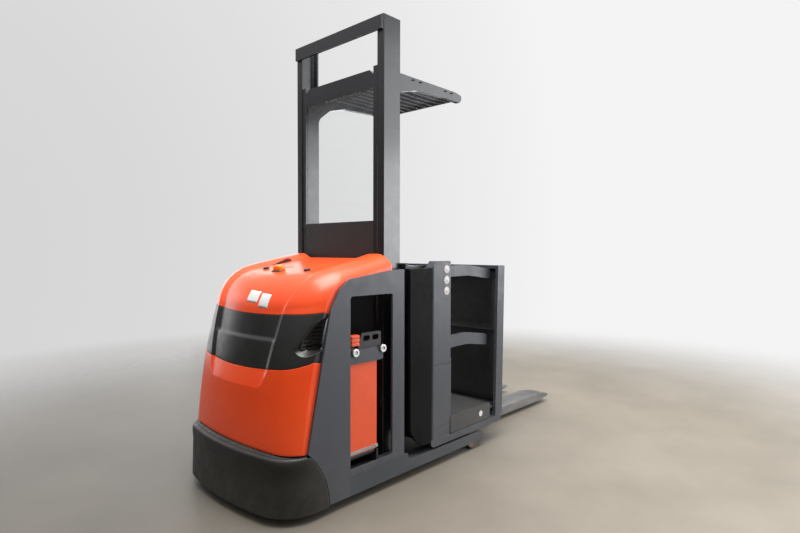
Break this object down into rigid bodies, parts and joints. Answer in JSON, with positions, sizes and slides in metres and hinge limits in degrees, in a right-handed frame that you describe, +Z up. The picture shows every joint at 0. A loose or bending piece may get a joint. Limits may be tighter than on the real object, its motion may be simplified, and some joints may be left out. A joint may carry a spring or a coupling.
{
  "type": "order picker truck",
  "caption": "Battery order picker with a fixed mast, a rising operator's cabin under an overhead guard, rear forks, steered drive wheel and outrigger legs.",
  "frame": {"origin": "on the floor, under the middle of the truck's bounding box", "axes": "+X along the truck from the power unit to the forks, +Z up, the right side faces -Y"},
  "size_m": [2.94, 1, 2.621],
  "materials": {
    "hood_orange": "satin painted cover, worn",
    "band_black": "smooth moulded plastic",
    "panel_grey": "dark grey paint",
    "bumper_black": "moulded, scuffed",
    "frame_black": "black paint",
    "mast_black": "black paint, greased track",
    "post_grey": "dark grey paint",
    "battery_orange": "coated steel tray, worn",
    "tyre_poly": "polyurethane tread",
    "steel": "machined steel",
    "fork_steel": "painted, top worn bare",
    "clear": "clear polycarbonate",
    "mat_rubber": "ribbed mat",
    "trim_plastic": "moulded plastic",
    "amber": "amber lens"
  },
  "bodies": {
    "chassis": {"chassis_frame": "frame_black", "side_panel_right": "panel_grey", "side_panel_left": "panel_grey", "bumper": "bumper_black", "hood_lower": "hood_orange", "hood_band": "band_black", "hood_upper": "hood_orange", "battery": "battery_orange", "battery_top": "frame_black", "intake_grilles": "band_black", "marker_lamp": "amber", "roller_bed": "frame_black", "battery_brackets": "panel_grey", "mast_upright_right": "mast_black", "mast_upright_left": "mast_black", "mast_crossbeams": "mast_black", "lift_cylinders": "frame_black"},
    "cabin": {"guard_post_right": "mast_black", "guard_post_left": "mast_black", "guard_slats": "mast_black", "lower_panel": "frame_black", "screen": "clear", "crosshead": "frame_black", "lift_rods": "steel", "front_housing": "trim_plastic", "post_panel_right": "post_grey", "post_panel_left": "post_grey", "platform": "frame_black", "base_rails": "post_grey", "floor_mat": "mat_rubber", "step_panels": "post_grey", "back_wall": "post_grey", "forks": "fork_steel", "fork_carriage": "frame_black", "console": "trim_plastic", "control_handle": "trim_plastic"},
    "drive_unit": {"drive_unit": "frame_black"},
    "drive_wheel": {"drive_wheel": "tyre_poly"},
    "load_wheel_right": {"load_wheel_right": "tyre_poly"},
    "load_wheel_left": {"load_wheel_left": "tyre_poly"},
    "gate_right_upper": {"gate_right_upper": "post_grey"},
    "gate_right_lower": {"gate_right_lower": "post_grey"},
    "gate_left_upper": {"gate_left_upper": "post_grey"},
    "gate_left_lower": {"gate_left_lower": "post_grey"},
    "steering_wheel": {"steering_wheel": "trim_plastic"}
  },
  "joints": [
    {"name": "drive_steer", "type": "hinge", "parent": "chassis", "child": "drive_unit", "pos_m": [-1.237, 0, 0.285], "axis": [0, 0, 1], "range_deg": [-90, 90]},
    {"name": "drive_roll", "type": "hinge", "parent": "drive_unit", "child": "drive_wheel", "pos_m": [-1.237, 0, 0.125], "axis": [0, 1, 0], "continuous": true},
    {"name": "load_roll_right", "type": "hinge", "parent": "chassis", "child": "load_wheel_right", "pos_m": [0.097, -0.452, 0.075], "axis": [0, 1, 0], "continuous": true},
    {"name": "load_roll_left", "type": "hinge", "parent": "chassis", "child": "load_wheel_left", "pos_m": [0.097, 0.452, 0.075], "axis": [0, 1, 0], "continuous": true},
    {"name": "cabin_lift", "type": "slide", "parent": "chassis", "child": "cabin", "axis": [0, 0, 1], "range_m": [0, 1.2]},
    {"name": "gate_right_lift", "type": "hinge", "parent": "cabin", "child": "gate_right_upper", "pos_m": [-0.213, -0.427, 1.172], "axis": [0, -1, 0], "range_deg": [0, 80]},
    {"name": "gate_right_follow", "type": "hinge", "parent": "cabin", "child": "gate_right_lower", "pos_m": [-0.213, -0.427, 0.722], "axis": [0, -1, 0], "range_deg": [0, 80]},
    {"name": "gate_left_lift", "type": "hinge", "parent": "cabin", "child": "gate_left_upper", "pos_m": [-0.213, 0.427, 1.172], "axis": [0, -1, 0], "range_deg": [0, 80]},
    {"name": "gate_left_follow", "type": "hinge", "parent": "cabin", "child": "gate_left_lower", "pos_m": [-0.213, 0.427, 0.722], "axis": [0, -1, 0], "range_deg": [0, 80]},
    {"name": "steer_wheel_turn", "type": "hinge", "parent": "cabin", "child": "steering_wheel", "pos_m": [-0.44, 0.215, 1.26], "axis": [0, 0, 1], "range_deg": [-360, 360]}
  ],
  "couplings": [
    {"joint": "gate_right_follow", "follows": "gate_right_lift", "ratio": 1},
    {"joint": "gate_left_follow", "follows": "gate_left_lift", "ratio": 1},
    {"joint": "steer_wheel_turn", "follows": "drive_steer", "ratio": 4}
  ]
}
